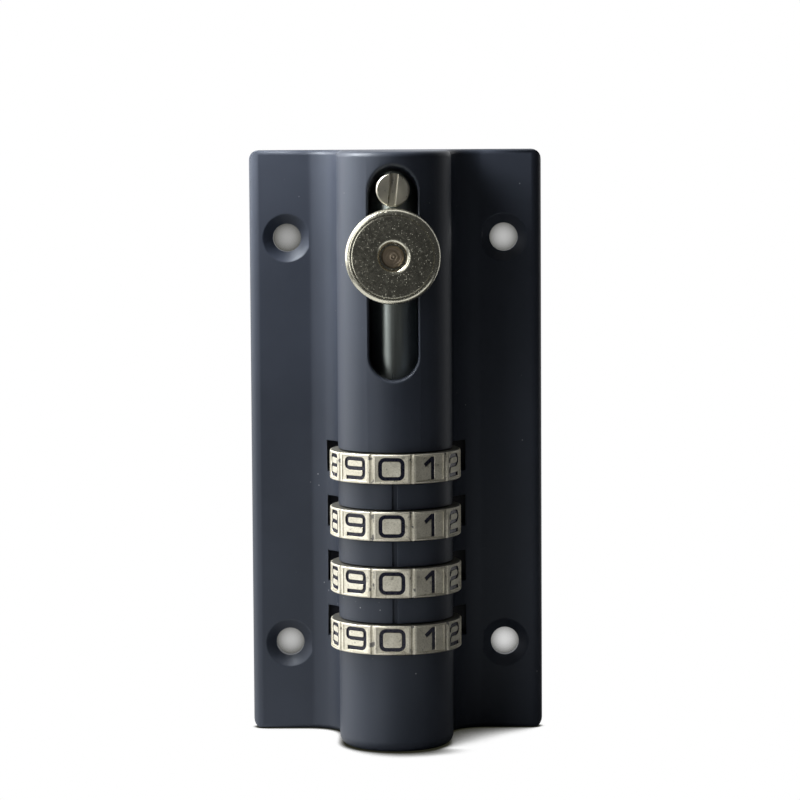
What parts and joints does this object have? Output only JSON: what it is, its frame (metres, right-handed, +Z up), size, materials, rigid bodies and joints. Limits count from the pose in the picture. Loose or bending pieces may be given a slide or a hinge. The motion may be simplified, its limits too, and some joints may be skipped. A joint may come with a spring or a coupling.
{
  "type": "combination locking bolt",
  "caption": "Surface-mounted locking bolt: painted cast case with a half-round barrel, numbered dials on the barrel, and a round bolt drawn by a knob in a slot.",
  "frame": {"origin": "centre of the four fixing holes, on the flat back face of the case", "axes": "+Z up along the barrel, away from the end that the bolt comes out of; -Y to the front, where the dials and the knob are; +X to the right seen from the front"},
  "size_m": [0.06, 0.0387, 0.12],
  "materials": {
    "case_paint": "satin navy-black powder coat on die-cast zinc",
    "plate_steel": "zinc-plated sheet",
    "screw_steel": "zinc-plated",
    "bush_brass": "turned",
    "spring_steel": "bright cold-rolled",
    "ball_steel": "polished",
    "bolt_chrome": "chrome plated bar",
    "knob_nickel": "nickel plated, speckled face",
    "stud_steel": "turned, browned",
    "change_screw_nickel": "nickel plated",
    "dial_nickel": "satin nickel, engraved numbers filled dark",
    "sleeve_brass": "as sawn"
  },
  "bodies": {
    "case": {"body": "case_paint", "back_plate": "plate_steel", "plate_screws": "screw_steel", "bolt_bush": "bush_brass", "click_spring": "spring_steel", "spring_rivets": "screw_steel", "detent_ball": "ball_steel", "detent_spring": "spring_steel"},
    "bolt": {"bolt": "bolt_chrome", "lug_strip": "spring_steel", "strip_pins": "screw_steel", "knob": "knob_nickel", "knob_stud": "stud_steel", "screw_clip": "spring_steel"},
    "change_screw": {"change_screw": "change_screw_nickel"},
    "dial_1": {"dial_1": "dial_nickel", "sleeve_1": "sleeve_brass"},
    "dial_2": {"dial_2": "dial_nickel", "sleeve_2": "sleeve_brass"},
    "dial_3": {"dial_3": "dial_nickel", "sleeve_3": "sleeve_brass"},
    "dial_4": {"dial_4": "dial_nickel", "sleeve_4": "sleeve_brass"}
  },
  "joints": [
    {"name": "bolt_slide", "type": "slide", "parent": "case", "child": "bolt", "axis": [0, 0, -1], "range_m": [0, 0.02]},
    {"name": "change_screw_turn", "type": "hinge", "parent": "bolt", "child": "change_screw", "pos_m": [0, -0.02, 0.0524], "axis": [0, 1, 0], "range_deg": [0, 90]},
    {"name": "dial_1_turn", "type": "hinge", "parent": "case", "child": "dial_1", "pos_m": [0, -0.02, -0.0028], "axis": [0, 0, 1], "continuous": true},
    {"name": "dial_2_turn", "type": "hinge", "parent": "case", "child": "dial_2", "pos_m": [0, -0.02, -0.0142], "axis": [0, 0, 1], "continuous": true},
    {"name": "dial_3_turn", "type": "hinge", "parent": "case", "child": "dial_3", "pos_m": [0, -0.02, -0.0256], "axis": [0, 0, 1], "continuous": true},
    {"name": "dial_4_turn", "type": "hinge", "parent": "case", "child": "dial_4", "pos_m": [0, -0.02, -0.037], "axis": [0, 0, 1], "continuous": true}
  ]
}
